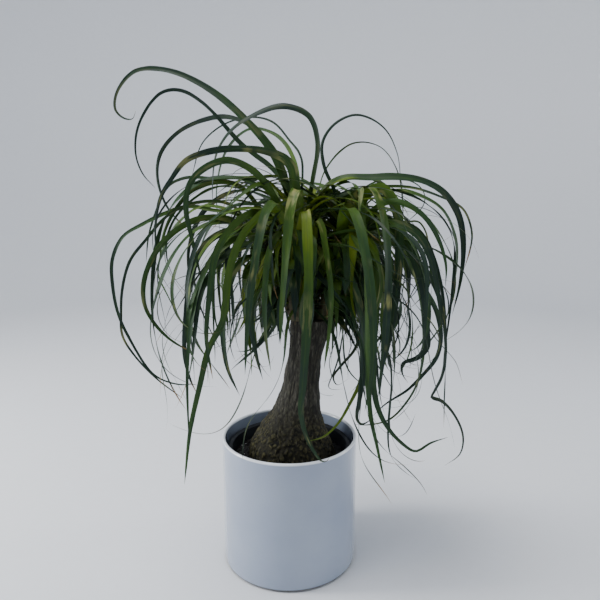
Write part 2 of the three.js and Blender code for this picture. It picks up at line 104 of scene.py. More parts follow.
SOIL_COLUMNS, SOIL_WALL_ROWS, SOIL_RINGS = 220, 14, 46
SOIL_MIDDLE = 0.03  # radius of its innermost ring, as a share of the outermost
SOIL_EDGE = 2 * MM  # from its wall up to its top edge
SOIL_LUMPS = ((1.6 * MM, 55), (0.9 * MM, 190))  # height, and lumps a metre
SOIL_SINK = 1.2 * MM  # keeps the rough top close to its CAD solid
CRUMB_COUNT, CRUMB_SIZES = 420, (0.9 * MM, 2.8 * MM)
PERLITE_COUNT, PERLITE_SIZES = 46, (0.6 * MM, 1.3 * MM)
CRUMB_ZONE = (0.68, 1)  # where they lie, as shares of the soil's radius
CRUMB_SQUASH = (0.55, 1)  # how much of its size a crumb keeps along each axis
CRUMB_ROUGHNESS, CRUMB_LIFT = 0.3, 0.25  # heights of its bumps and middle, as shares of its size

TRUNK_COLUMNS = 288
TRUNK_ROW = 1.1 * MM
TRUNK_OVERLAP = 3  # CAD columns repeated past each end, so that the outline closes smoothly
BURIED_ROWS = 8
BURIED_DEPTH = 10 * MM  # the bark's fine rows start this far under the soil
RELIEF_DEPTHS = (8 * MM, 3 * MM)  # under the soil, where the bark's relief starts and is full
CAUDEX_TOP = 0.24  # where the corky foot turns into the fissured stem
CAUDEX_BLEND, CAUDEX_WAVER = 45 * MM, 12 * MM  # the height that this takes, and its unevenness
CAUDEX_WAVES = 40  # a metre
FISSURES = ((5.5 * MM, 0.13, 0.8), (2.6 * MM, 0.16, 0.35))  # spacing, and shares of width and depth
FISSURE_STRETCH = 0.10  # how slowly they change along the stem, next to round it
FISSURE_DEPTH = 1.1 * MM
PLATE_SIZE = 6.5 * MM
PLATE_DEPTH = 2.0 * MM
PLATE_FISSURES = 0.3  # of the fissures' depth, in the plates
PLATE_WARP, PLATE_WARPS = 0.35, 210  # how far plates bend out of shape, and bends a metre
CRACK_EDGES = (0.05, 0.4)  # where a crack is full and where it ends, as shares of a plate
BARK_LUMPS = ((1.3 * MM, 45), (0.5 * MM, 160))
BARK_SINK = 0.3 * MM  # keeps the bark close to its CAD solid
TOP_RINGS = (0.97, 0.9, 0.78, 0.6, 0.4, 0.2)  # of the sawn top, as shares of its edge
TOP_STEP = 0.4 * MM  # from its edge down to its face
TOP_SHADE = 0.35  # painted shade on the sawn top, drawn as if cracked by this much

SHOOT_ROW = 1.2 * MM
SHOOT_COLUMNS = 56
SCAR_HEIGHT = 10 * MM
SCAR_SPIRALS = 2
SCAR_DEPTH, STEM_WAVER = 0.10, 0.03  # as shares of the stem's radius
SCALLOPS, SCALLOP_DEPTH = 5, 0.15  # of a scar's edge: how many, and share of its height

BLADE_STEP = 3.2 * MM  # between rows of a blade's mesh
GROWN_STEP = 6 * MM  # the same for the grown leaves
BLADE_POINTS = 9  # across a blade's upper face
FEWEST_ROWS = 12
BLADE_THICKNESS = 0.4 * MM
NARROW_THICKNESS = 0.16  # the most for a narrow blade, as a share of its half width
EDGE_THINNING = 0.7
FOLD_ROUNDNESS = 0.12  # of the channel's bottom, as a share of the half width
ROOT_CHANNEL, FLAT_CHANNEL = 0.5, 0.38  # depths, as shares of the CAD section's
CHANNEL_SHARE = 0.22  # depth of a grown leaf's section, as a share of its width
ROOT_FLARE = 0.2  # how much wider a leaf's clasping base is
FLARE_LENGTH = 70 * MM
POINTED_LENGTH = 22 * MM  # the last stretch, which narrows to a point
POINT_WIDTH, POINT_SHAPE = 0.1, 0.7  # the tip's share of the width, and the narrowing's power
WIDTH_WAVER, WIDTH_WAVES = 0.08, 60  # share of the width, and waves a metre
EDGE_RIPPLE, EDGE_RIPPLES = 0.05, 90  # share of the channel's depth, and ripples a metre
FRAME_ROLL, GROWN_ROLL = 40, 90  # degrees by which a blade turns its face to and fro
ROLL_LENGTH = 90 * MM  # the length over which it does so
# The stretches, as shares of a leaf's length, over which its channel flattens, its tone ages, a
# twisted one turns, and a grown one curls.
FLATTENING, AGEING, TWISTING, CURLING = (0.2, 0.5), (0.05, 0.7), (0.45, 0.6), (0.5, 1.05)
HIGHLIGHT_BENDS = (6, 22)  # radians a metre at which a painted highlight starts on a bend, and is full
HIGHLIGHT_LENGTH = 35 * MM  # the length over which stretches of painted highlight come and go
DRYING = 0.05  # share of the length over which a tip turns from green to dry
GREEN = 1.1  # dry only past the leaf's end: it stays green

PATH_POINTS = 36  # of a grown leaf
DROOP_START = -0.15  # a leaf starts to droop a little before it leaves its shoot
DRIFTS = 2.2  # waves of its wandering
SWAY = 0.55  # how far its slope wanders, next to its heading
DRIFT_GROWTH = 0.6  # share of its length after which its heading drifts in full
TAPER, TIP_HALF = 1.6, 0.4 * MM  # its narrowing's power, and its half width at the tip
SEED_OFFSET = 0.37  # keeps the frame's leaves off whole numbers, where the noise is 0
GROWN_SEEDS = (60, 400)  # past those of the frame's leaves
TRIES = 60  # for each leaf that is wanted
PIECE_LEAVES = 12  # most leaves in a piece
SHOOT_SHARES = (0.36, 0.32, 0.16, 0.16)  # of the grown leaves, in the order of SHOOTS

# Grown leaves keep under a tent, and above the hem of a skirt. The tent falls away from the pot's
# axis on all sides. The hem is level near the trunk, and falls to its left and right.
TENT_TOP, TENT_FALL = 0.6, 0.48  # its height, and how far it falls a metre
HEM_HEIGHT, HEM_FALL = 0.315, 0.8
HEM_HALF = 50 * MM  # it is level this far to each side of the trunk's top
# The space before the trunk is left to the frame's own leaves: half its width, how far its middle
# is to the left of the trunk's top, and how far before the pot's axis it starts.
FRONT_HALF, FRONT_SHIFT, FRONT_DEPTH = 55 * MM, 15 * MM, 60 * MM
# A grown leaf's room to the CAD box, to the cover pot's side and rim, and to the trunk.
BOX_ROOM, SIDE_ROOM, RIM_ROOM, TRUNK_ROOM = 6 * MM, 8 * MM, 10 * MM, 4 * MM

WELD = 0.01 * MM  # points this close count as one
LEVEL_SLACK = 0.1 * MM  # points this close to a height count as on it
ANGLE_SLACK = 0.01  # radians by which a ring's first point may lie before its start
SHARP_DEGREES = 50  # faces that meet at more than this have a crisp edge between them

# ---- colours, linear RGB: a pair is the two ends of a mottled colour ----

# Painted shade: the white glaze is drawn in the darker grey-blue that it shows in shade.
SHADED_GLAZE = ((0.27, 0.32, 0.42), (0.31, 0.36, 0.45))
# Painted highlight on the pot's lip.
GLAZE_LIP_HIGHLIGHT = (0.84, 0.87, 0.90)
GLAZE_SPECK = (0.5, 0.5, 0.5)
# Painted shadow: a near-black band round the pot's foot, where it meets the floor.
FOOT_SHADOW = (0.04, 0.04, 0.04)
PLASTIC = ((0.006, 0.009, 0.014), (0.028, 0.029, 0.031))
EARTH = ((0.008, 0.008, 0.009), (0.024, 0.020, 0.018))
EARTH_GRAIN = (0.09, 0.065, 0.045)
PERLITE = ((0.38, 0.37, 0.36), (0.62, 0.62, 0.61))
BARK = ((0.018, 0.017, 0.012), (0.084, 0.079, 0.057))
BARK_STREAK = (0.15, 0.14, 0.115)
BARK_FLECK = (0.13, 0.12, 0.085)
CORK = ((0.046, 0.042, 0.018), (0.108, 0.098, 0.040))
# Painted shade: near-black specks for the cork's pits, which its mesh does not have.
CORK_PIT_SHADE = (0.004, 0.004, 0.003)
# Painted shade in the bark's cracks and fissures, and on the sawn top.
CRACK_SHADE = (0.009, 0.008, 0.006)
YOUNG_STEM = ((0.095, 0.07, 0.03), (0.06, 0.065, 0.018))
SCAR_EDGE = (0.05, 0.03, 0.015)
LEAF_TONES = (
    (0.0, (0.096, 0.136, 0.008)),
    (0.35, (0.044, 0.091, 0.007)),
    (0.7, (0.016, 0.044, 0.013)),
    (1.0, (0.011, 0.024, 0.019)),
)
LEAF_RIB = (0.05, 0.085, 0.016)  # the midrib and the margins
# Painted highlight, where a leaf's bends and some stretches of it catch the light.
LEAF_HIGHLIGHT = (0.27, 0.27, 0.09)
LEAF_DRY = ((0.30, 0.19, 0.08), (0.17, 0.10, 0.045))
BACKDROP = ((0.80, 0.815, 0.84), (0.83, 0.845, 0.87))
# What a material's colour is multiplied by: painted shade where the bark's and the stem's grain dips,
# or a leaf's pale veins.
BARK_GRAIN_SHADE, STEM_GRAIN_SHADE, LEAF_VEIN = (0.35, 0.35, 0.35), (0.5, 0.5, 0.5), (1.5, 1.4, 1.2)

# ---- the kinds of grown leaf, and the looks of the frame's own ----

# They are grown in this order. count is how many leaves, and points is how many points each has
# across. A pair is a range that each leaf is drawn from: at is the share of its shoot where it
# starts, length is in metres and width in millimetres, rise, hang and curl are in degrees, and
# arch is the share of its length by which it hangs. A curl below 0 lifts the tip. wander is how
# far its heading drifts, in radians. tone is as in blade(). lift raises the hem that it keeps
# above, and reach is how far it may get from the trunk's top, both in metres.
KINDS = {
    "inner": dict(
        count=75, points=5, at=(0.1, 0.95), length=(0.14, 0.32), width=(8, 16),
        rise=(-20, 65), hang=(55, 88), curl=(-50, 80), arch=(0.2, 0.6),
        wander=1.9, tone=(-0.2, 0.6), lift=(-0.03, 0.1), reach=0.125,
    ),
    "skirt": dict(
        count=52, points=5, at=(0.02, 0.6), length=(0.06, 0.15), width=(9, 15),
        rise=(-30, 60), hang=(30, 95), curl=(-60, 60), arch=(0.4, 1),
        wander=1, tone=(0.2, 0.9), lift=(0, 0.06), reach=0.11,
    ),
    "core": dict(
        count=110, points=5, at=(0.08, 0.95), length=(0.07, 0.15), width=(10, 16),
        rise=(10, 75), hang=(78, 95), curl=(-15, 25), arch=(0.15, 0.5),
        wander=0.7, tone=(-0.1, 0.6), lift=(-0.02, 0.08), reach=0.1,
    ),
    "arching": dict(
        count=64, points=5, at=(0.6, 1), length=(0.26, 0.5), width=(4, 11),
        rise=(30, 78), hang=(40, 88), curl=(-20, 120), arch=(0.35, 0.9),
        wander=1.8, tone=(0.1, 0.8), lift=(-0.08, 0.05), reach=0.22,
    ),
    "crown": dict(
        count=42, points=5, at=(0.85, 1), length=(0.12, 0.24), width=(6, 12),
        rise=(50, 86), hang=(20, 80), curl=(-40, 40), arch=(0.8, 1.3),
        wander=0.8, tone=(-0.15, 0.3), lift=(0, 0.1), reach=0.14,
    ),
    "arc": dict(
        count=30, points=3, at=(0.85, 1), length=(0.16, 0.32), width=(2, 5),
        rise=(15, 60), hang=(0, 50), curl=(0, 60), arch=(0.8, 1.3),
        wander=1, tone=(0.4, 0.9), lift=(0.05, 0.1), reach=0.19,
    ),
    "wisp": dict(
        count=80, points=3, at=(0.1, 1), length=(0.14, 0.36), width=(1, 2.6),
        rise=(-20, 75), hang=(20, 85), curl=(-90, 190), arch=(0.4, 1),
        wander=2.4, tone=(0.5, 1), lift=(-0.15, 0.05), reach=0.22,
    ),
    "sweep": dict(
        count=16, points=3, at=(0.02, 0.5), length=(0.26, 0.42), width=(2.5, 5),
        rise=(-10, 50), hang=(70, 90), curl=(-110, -40), arch=(0.3, 0.6),
        wander=2.4, tone=(0.4, 0.9), lift=(-0.19, -0.1), reach=0.2,
    ),
}

# Where a frame leaf's look differs from the usual one. blade() says what each value means.
LOOKS = {
    "main_01": {"tone": 0.6, "pale_highlight": 0.2},
    "main_02": {"tone": 0.65, "pale_highlight": 0, "twist": -60},
    "main_03": {"tone": 0.7, "pale_highlight": 0.1},
    "main_04": {"tone": 0.6, "pale_highlight": 0.1},
    "main_05": {"tone": 0.8},
    "main_06": {"tone": 0.5, "pale_highlight": 0.5},
    "main_07": {"tone": 0.45},
    "main_09": {"tone": 0.3, "ageing": 0.3, "pale_highlight": 0.9},
    "main_10": {"tone": 0, "ageing": 0.9, "pale_highlight": 0.7},
    "main_11": {"tone": 0.25, "dry": GREEN},
    "main_12": {"tone": 0.2},
    "main_13": {"tone": 0.4},
    "main_14": {"tone": 0.3},
    "main_15": {"tone": 0.55, "pale_highlight": 0.2},
    "right_01": {"tone": 0.8},
    "right_10": {"tone": 0.7, "dry": GREEN, "twist": 75},
    "right_14": {"tone": 0.15, "ageing": 0.8, "pale_highlight": 0.8, "dry": GREEN},
    "right_15": {"tone": 0.35, "ageing": 0.6, "pale_highlight": 0.6, "dry": GREEN},
    "right_16": {"tone": 0.65, "dry": GREEN},
    "right_17": {"tone": 0.5, "ageing": -0.25, "dry": GREEN},
    "right_18": {"tone": 0.6, "pale_highlight": 0.3, "dry": GREEN, "twist": 75},
    "right_20": {"tone": 0.3, "dry": GREEN},
}


# ---- numbers ----


def smooth(keys, values, at):
    """A smooth curve through rows of values given at rising keys, read at other places."""
    keys, values, at = (np.asarray(part, float) for part in (keys, values, at))
    slopes = np.gradient(values, keys, axis=0)
    low = np.clip(np.searchsorted(keys, at, side="right") - 1, 0, len(keys) - 2)
    gap = (keys[low + 1] - keys[low])[:, None]
    t = (at - keys[low])[:, None] / gap
    return (
        (2 * t**3 - 3 * t**2 + 1) * values[low]
        + (t**3 - 2 * t**2 + t) * gap * slopes[low]
        + (3 * t**2 - 2 * t**3) * values[low + 1]
        + (t**3 - t**2) * gap * slopes[low + 1]
    )


def ease(value, start, end):
    """0 before start, 1 after end, and a smooth rise between."""
    t = np.clip((np.asarray(value, float) - start) / (end - start), 0, 1)
    return t * t * (3 - 2 * t)


def field(points, scale):
    """Smooth noise from about -1 to 1 at each point, for a pattern of about 1 / scale."""
    return np.array([noise.noise(Vector(p)) for p in np.asarray(points) * scale])


def waver(at, seed, other=0):
    """Smooth noise along a line. Each seed, and each other number, has a line of its own."""
    return field(np.c_[at, at * 0 + seed, at * 0 + other], 1)


def lumps(places, sizes):
    """Unevenness at each place, from pairs of height and lumps a metre."""
    return sum(height * field(places, scale) for height, scale in sizes)


def unit(vectors):
    return vectors / np.maximum(np.linalg.norm(vectors, axis=-1, keepdims=True), 1e-12)


def rolled(vectors, along, angles):
    """Vectors square to a line's direction, turned about it by an angle at each place."""
    cosines, sines = np.cos(angles)[:, None], np.sin(angles)[:, None]
    return vectors * cosines + np.cross(along, vectors) * sines


def run_of(points):
    """How far along its line each point is."""
    return np.concatenate([[0], np.cumsum(np.linalg.norm(np.diff(points, axis=0), axis=1))])


def angles_round(count):
    """Angles spaced evenly round a circle, in radians."""
    return np.linspace(0, 2 * math.pi, count, endpoint=False)


def circle(radius, height, angles):
    return [(radius * math.cos(a), radius * math.sin(a), height) for a in angles]


# ---- meshes ----


def grid_faces(rows, columns):
    """Quads between closed rows of points."""
    faces = []
    for row in range(rows - 1):
        for column in range(columns):
            a = row * columns + column
            b = row * columns + (column + 1) % columns
            faces.append((a, b, b + columns, a + columns))
    return faces


def tube_faces(rows, columns):
    """Quads between closed rows of points, and one face over each end."""
    first = tuple(range(columns))
    last = tuple(range((rows - 1) * columns, rows * columns))
    return grid_faces(rows, columns) + [first[::-1], last]


def capped_rings(rings, low, high):
    """Points and faces of rings joined in turn, and to a middle point at each end."""
    columns = len(rings[0])
    points = [p for ring in rings for p in ring] + [low, high]
    faces = grid_faces(len(rings), columns)
    last = (len(rings) - 1) * columns
    for k in range(columns):
        after = (k + 1) % columns
        faces.append((len(points) - 2, after, k))
        faces.append((len(points) - 1, last + k, last + after))
    return points, faces


def placed(name, data):
    """A new object in the scene."""
    made = bpy.data.objects.new(name, data)
    bpy.context.scene.collection.objects.link(made)
    return made


def solid(name, points, faces, material):
    """A new object with a closed mesh, smooth but for crisp edges, its faces the right way out."""
    mesh = bpy.data.meshes.new(name)
    mesh.from_pydata([tuple(p) for p in points], [], faces)
    work = bmesh.new()
    work.from_mesh(mesh)
    bmesh.ops.recalc_face_normals(work, faces=work.faces)
    work.to_mesh(mesh)
    work.free()
    mesh.shade_smooth()
    mesh.set_sharp_from_angle(angle=math.radians(SHARP_DEGREES))
    mesh.materials.append(material)
    return placed(name, mesh)


def piece(name, points, faces, material, slot, replaced=(), marks=None):
    """A solid that rides on the plant's body. marks are vectors kept at its points for the material."""
    made = solid(name, points, faces, material)
    for label, values in (marks or {}).items():
        layer = made.data.attributes.new(label, "FLOAT_VECTOR", "POINT")
        layer.data.foreach_set("vector", np.asarray(values, np.float32).ravel())
    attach(made, "root")
    if replaced:
        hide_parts(*replaced)
    return made


def joined(parts):
    """Several sets of points, faces and marks as one."""
    faces, start = [], 0
    for points, own_faces, _ in parts:
        faces += [tuple(k + start for k in face) for face in own_faces]
        start += len(points)
    marks = {label: np.concatenate([own[label] for _, _, own in parts]) for label in parts[0][2]}
    return np.concatenate([points for points, _, _ in parts]), faces, marks


def lathe(profile, steps=POT_STEPS):
    """Points and faces of a closed profile of (radius, height) turned about Z, ends on the axis."""
    apart = [p for p, before in zip(profile[1:-1], profile) if math.dist(p, before) > WELD]
    rings = [circle(*p, angles_round(steps)) for p in apart]
    return capped_rings(rings, (0, 0, profile[0][1]), (0, 0, profile[-1][1]))


def rounded(r, z, radius, start, end, steps=8):
    """Profile points on an arc from one angle to another, in degrees."""
    angles = np.radians(np.linspace(start, end, steps + 1))
    return [(r + radius * math.cos(a), z + radius * math.sin(a)) for a in angles]


# ---- the frame's solids, read back as rings ----


def welded(name):
    """A node's separate points, the neighbours of each, and its faces."""
    mesh = NODES[name].data
    points = np.array([v.co for v in mesh.vertices])
    keys = np.round(points / WELD).astype(int)
    _, first, same = np.unique(keys, axis=0, return_index=True, return_inverse=True)
    same = same.reshape(-1)
    faces = [tuple(same[list(polygon.vertices)]) for polygon in mesh.polygons]
    near = [set() for _ in first]
    for face in faces:
        for corner in face:
            near[corner].update(c for c in face if c != corner)
    return points[first], near, faces


def layers(near, start):
    """Rings of a lofted solid, each the new neighbours of the one before."""
    found, seen = [sorted(start)], set(start)
    while True:
        ring = sorted({n for p in found[-1] for n in near[p]} - seen)
        if not ring:
            return found
        seen.update(ring)
        found.append(ring)


def stem_rings(name):
    """Centres, and points by angle round them, of a stem's rings from the lowest up."""
    points, near, _ = welded(name)
    foot = np.flatnonzero(points[:, 2] < points[:, 2].min() + LEVEL_SLACK)
    rings = [points[ring] for ring in layers(near, foot.tolist())]
    centres = np.array([ring.mean(0) for ring in rings])
    turned = []
    for ring, centre in zip(rings, centres):
        angles = np.arctan2(ring[:, 1] - centre[1], ring[:, 0] - centre[0])
        turned.append(ring[np.argsort((angles + ANGLE_SLACK) % (2 * math.pi))])
    return centres, np.array(turned)


def leaf_path(name):
    """A leaf's middle line, half width and depth, as vectors at each ring from root to tip."""
    points, near, faces = welded(name)
    # The corners of an end face have the fewest neighbours.
    end = min(faces, key=lambda face: sum(len(near[p]) for p in face))
    middle, side, keel = [], [], []
    for ring in layers(near, end):
        # The section's longest side is the open one, and the corner across from it is the keel.
        corners = points[ring]
        lengths = [np.linalg.norm(corners[k - 1] - corners[k - 2]) for k in range(3)]
        k = int(np.argmax(lengths))
        middle.append((corners[k - 1] + corners[k - 2]) / 2)
        across = (corners[k - 1] - corners[k - 2]) / 2
        side.append(across if not side or across @ side[-1] > 0 else -across)
        keel.append(corners[k] - middle[-1])
    path = [np.array(part) for part in (middle, side, keel)]
    # A leaf is widest at its root.
    if np.linalg.norm(side[0]) < np.linalg.norm(side[-1]):
        path = [part[::-1] for part in path]
    return path


# ---- one leaf ----


def blade(path, step, across, roll, look, seed):
    """Points, faces and marks of one leaf: a thin folded strap that follows a path.

    roll is how many degrees it turns its face to and fro. look gives its tone (0 young and
    yellow-green, 1 old and blue-green), its ageing (how much the tone rises along it), how strong
    the painted highlight is on its bends and on stretches of it, and dry, the share of its length
    after which it is dry. It may give a twist, the degrees that it turns by about half way along.
    """
    middle, side, keel = path
    run = run_of(middle)
    rows = max(FEWEST_ROWS, int(run[-1] / step))
    at = np.linspace(0, run[-1], rows)
    share = at / run[-1]
    middle, side, keel = (smooth(run, part, at) for part in path)

    width = 1 + ROOT_FLARE * (1 - ease(at, 0, FLARE_LENGTH))
    width *= 1 + WIDTH_WAVER * waver(at * WIDTH_WAVES, seed)
    pointed = np.clip((run[-1] - at) / POINTED_LENGTH, 0, 1) ** POINT_SHAPE
    width *= POINT_WIDTH + (1 - POINT_WIDTH) * pointed
    channel = ROOT_CHANNEL + (FLAT_CHANNEL - ROOT_CHANNEL) * ease(share, *FLATTENING)
    along = unit(np.gradient(middle, axis=0))
    turn = math.radians(roll) * waver(at / ROLL_LENGTH, seed, 5) * ease(at, 0, ROLL_LENGTH)
    turn += math.radians(look.get("twist", 0)) * ease(share, *TWISTING)
    side = rolled(side * width[:, None], along, turn)
    keel = rolled(keel * (width * channel)[:, None], along, turn)
    normal = unit(keel)
    thick = np.minimum(BLADE_THICKNESS, NARROW_THICKNESS * np.linalg.norm(side, axis=1))

    places = np.linspace(-1, 1, across)
    fold = np.sqrt(places**2 + FOLD_ROUNDNESS**2) - FOLD_ROUNDNESS
    fold /= fold[-1]
    lines = []
    for place, rise in zip(places, fold):
        ripple = EDGE_RIPPLE * place**2 * waver(at * EDGE_RIPPLES, seed + place)
        lines.append(middle + side * place + keel * (1 - rise + ripple[:, None]))
    for place, upper in zip(places[::-1], lines[::-1]):
        lines.append(upper + normal * (thick * (1 - EDGE_THINNING * place**2))[:, None])
    points = np.stack(lines, axis=1).reshape(-1, 3)

    bend = np.linalg.norm(np.gradient(along, at, axis=0), axis=1)
    # Painted highlight: paler where the blade bends and along some stretches, as if light caught it.
    highlight_stretches = ease(waver(at / HIGHLIGHT_LENGTH, seed, 9), 0.2, 0.45)
    pale_highlight = look["pale_highlight"] * np.maximum(ease(bend, *HIGHLIGHT_BENDS), highlight_stretches)
    tone = look["tone"] + look["ageing"] * ease(share, *AGEING)
    dry = ease(share, look["dry"], look["dry"] + DRYING)
    strip = np.broadcast_arrays([*places, *places[::-1]], at[:, None], seed)
    looks = np.stack([tone, pale_highlight, dry], axis=1)
    columns = len(lines)
    marks = {"strip": np.stack(strip, axis=2).reshape(-1, 3), "look": looks.repeat(columns, axis=0)}
    return points, tube_faces(rows, columns), marks


def grown(root, heading, rise, hang, length, width, arch, curl, wander, seed):
    """A leaf's path worked out from how it grows. Angles are in radians.

    It leaves the shoot with a heading and a rise, and droops until it hangs at a slope of -hang,
    at the share of its length given by arch. curl turns its second half further under, or lifts
    it if below 0. wander is how far its heading drifts. Its slope drifts too, but less.
    """
    share = np.linspace(0, 1, PATH_POINTS)
    sway, turn = (waver(share * DRIFTS, seed, k) for k in range(2))
    slope = rise - (hang + rise) * ease(share, DROOP_START, arch) - curl * ease(share, *CURLING)
    slope += SWAY * wander * sway * share
    bearing = heading + wander * turn * ease(share, 0, DRIFT_GROWTH)
    level = np.stack([np.cos(bearing), np.sin(bearing), share * 0], axis=1)
    along = np.cos(slope)[:, None] * level + np.sin(slope)[:, None] * (0, 0, 1)
    middle = root + np.cumsum(along, axis=0) * length / len(share)
    side = np.stack([-level[:, 1], level[:, 0], share * 0], axis=1)
    half = (width / 2 * (1 - share**TAPER) + TIP_HALF)[:, None]
    return middle, side * half, np.cross(side, along) * half * 2 * CHANNEL_SHARE


# ---- materials ----


def new_material(name):
    """A node material and its node tree."""
    made = bpy.data.materials.new(name)
    made.use_nodes = True
    return made, made.node_tree


def set_inputs(tree, target, inputs):
    """Sets a node's inputs to values, or joins them to sockets."""
    for key, value in inputs.items():
        if isinstance(value, bpy.types.NodeSocket):
            tree.links.new(value, target.inputs[key])
        else:
            target.inputs[key].default_value = value


def finished(made, inputs):
    """A material whose shader has its inputs set or joined."""
    set_inputs(made.node_tree, made.node_tree.nodes["Principled BSDF"], inputs)
    return made


def node(tree, kind, inputs, **settings):
    """A node of a kind, with its settings and inputs."""
    made = tree.nodes.new("ShaderNode" + kind)
    for key, value in settings.items():
        setattr(made, key, value)
    set_inputs(tree, made, inputs)
    return made


def maths(tree, operation, a, b=0.0, clamp=False):
    return node(tree, "Math", {0: a, 1: b}, operation=operation, use_clamp=clamp).outputs[0]


def remap(tree, value, low, high, to_low=0.0, to_high=1.0):
    """A value's range from low to high, taken to another range and held inside it."""
    inputs = {0: value, 1: low, 2: high, 3: to_low, 4: to_high}
    return node(tree, "MapRange", inputs).outputs[0]


def mix(tree, amount, a, b, blend="MIX"):
    """Two colours mixed by an amount."""
    a, b = (part if isinstance(part, bpy.types.NodeSocket) else (*part, 1) for part in (a, b))
    inputs = {0: amount, 6: a, 7: b}
    return node(tree, "Mix", inputs, data_type="RGBA", blend_type=blend).outputs[2]


def ramp(tree, value, stops):
    """A colour read by a value from stops of (place, colour)."""
    made = node(tree, "ValToRGB", {0: value})
    elements = made.color_ramp.elements
    while len(elements) < len(stops):
        elements.new(1)
    for element, (place, colour) in zip(elements, stops):
        element.position = place
        element.color = (*colour, 1)
    return made.outputs[0]


def point_at(tree, x, y, z):
    return node(tree, "CombineXYZ", {0: x, 1: y, 2: z}).outputs[0]


def noise_at(tree, place, scale, detail, roughness=0.5):
    """Noise at a place, mostly from 0.2 to 0.8."""
    inputs = {"Vector": place, "Scale": scale, "Detail": detail, "Roughness": roughness}
    return node(tree, "TexNoise", inputs).outputs["Fac"]


def bump(tree, height, strength, distance):
    """A surface's direction, made uneven by a height."""
    inputs = {"Height": height, "Strength": strength, "Distance": distance}
    return node(tree, "Bump", inputs).outputs[0]


def object_place(tree):
    """Places in the object's own metres."""
    return node(tree, "TexCoord", {}).outputs["Object"]


def grain(tree, scale, detail, roughness=0.5, upright=1):
    """Noise over an object, scale patterns a metre. An upright below 1 draws them out in height."""
    place = {"Vector": object_place(tree), "Scale": (1, 1, upright)}
    return noise_at(tree, node(tree, "Mapping", place).outputs[0], scale, detail, roughness)


def parts_of(tree, label):
    """The three numbers of a vector kept at a mesh's points."""
    kept = node(tree, "Attribute", {}, attribute_name=label, attribute_type="GEOMETRY")
    return node(tree, "SeparateXYZ", {0: kept.outputs["Vector"]}).outputs


def leaf_material():
    """Parallel veins, a paler midrib and margin, patches of painted highlight and a tan dry tip."""
    made, tree = new_material("leaf")
    across, along, seed = parts_of(tree, "strip")
    tone, pale_highlight, dry = parts_of(tree, "look")
    vein_along = maths(tree, "MULTIPLY", along, 9)
    veins_at = point_at(tree, maths(tree, "MULTIPLY", across, 7), vein_along, seed)
    veins = noise_at(tree, veins_at, 1.6, 5, 0.6)
    blotches_at = point_at(tree, across, maths(tree, "MULTIPLY", along, 28), seed)
    blotches = noise_at(tree, blotches_at, 1, 3)
    age = maths(tree, "ADD", tone, remap(tree, blotches, 0.3, 0.7, -0.12, 0.12), clamp=True)
    colour = ramp(tree, age, LEAF_TONES)
    colour = mix(tree, remap(tree, veins, 0.3, 0.7), colour, LEAF_VEIN, "MULTIPLY")
    off_middle = maths(tree, "ABSOLUTE", across)
    midrib = remap(tree, off_middle, 0, 0.12, 0.45, 0)
    margin = remap(tree, off_middle, 0.88, 1, 0, 0.35)
    colour = mix(tree, maths(tree, "MAXIMUM", midrib, margin), colour, LEAF_RIB)
    # Painted highlight, in patches.
    patches = maths(tree, "MULTIPLY", pale_highlight, remap(tree, blotches, 0.5, 0.62))
    colour = mix(tree, patches, colour, LEAF_HIGHLIGHT)
    colour = mix(tree, dry, colour, mix(tree, blotches, *LEAF_DRY))
    rough = maths(tree, "ADD", remap(tree, veins, 0.2, 0.8, 0.38, 0.56), dry)
    return finished(made, {
        "Base Color": colour,
        "Roughness": maths(tree, "MINIMUM", rough, 0.9),
        "Specular IOR Level": 0.17,
        "Normal": bump(tree, veins, 0.6, 0.3 * MM),
    })


def bark_material():
    """Dark olive-grey ridges with pale streaks above, olive-brown cork below; painted shade darkens its
    low grain, the cork's pits and every crack.
    """
    made, tree = new_material("bark")
    shaded_cracks, corky, _ = parts_of(tree, "bark")
    wide = grain(tree, 38, 5, 0.6, upright=0.35)
    fine = grain(tree, 420, 4, 0.6, upright=0.3)
    pits = grain(tree, 210, 2)
    streaks = grain(tree, 330, 3, upright=0.07)
    flecks = grain(tree, 300, 2, upright=0.25)
    stem = mix(tree, remap(tree, wide, 0.3, 0.7), *BARK)
    stem = mix(tree, remap(tree, streaks, 0.54, 0.68, 0, 0.6), stem, BARK_STREAK)
    foot = mix(tree, remap(tree, wide, 0.32, 0.68), *CORK)
    colour = mix(tree, corky, stem, foot)
    # Painted shade: the bark darkens where its fine grain dips, in the bump's hollows.
    colour = mix(tree, remap(tree, fine, 0.62, 0.38), colour, BARK_GRAIN_SHADE, "MULTIPLY")
    # Painted shade: cracks, fissures and the sawn top darken.
    colour = mix(tree, remap(tree, shaded_cracks, 0.1, 0.8, 0, 0.75), colour, CRACK_SHADE)
    # Painted shade in the cork's pits.
    shaded_pits = maths(tree, "MULTIPLY", remap(tree, pits, 0.44, 0.38), corky)
    colour = mix(tree, shaded_pits, colour, CORK_PIT_SHADE)
    fleck_amount = maths(tree, "MULTIPLY", remap(tree, flecks, 0.66, 0.72), 0.5)
    return finished(made, {
        "Base Color": mix(tree, fleck_amount, colour, BARK_FLECK),
        "Roughness": remap(tree, fine, 0.2, 0.8, 0.75, 0.95),
        "Specular IOR Level": 0.3,
        "Normal": bump(tree, fine, 0.6, 0.6 * MM),
    })


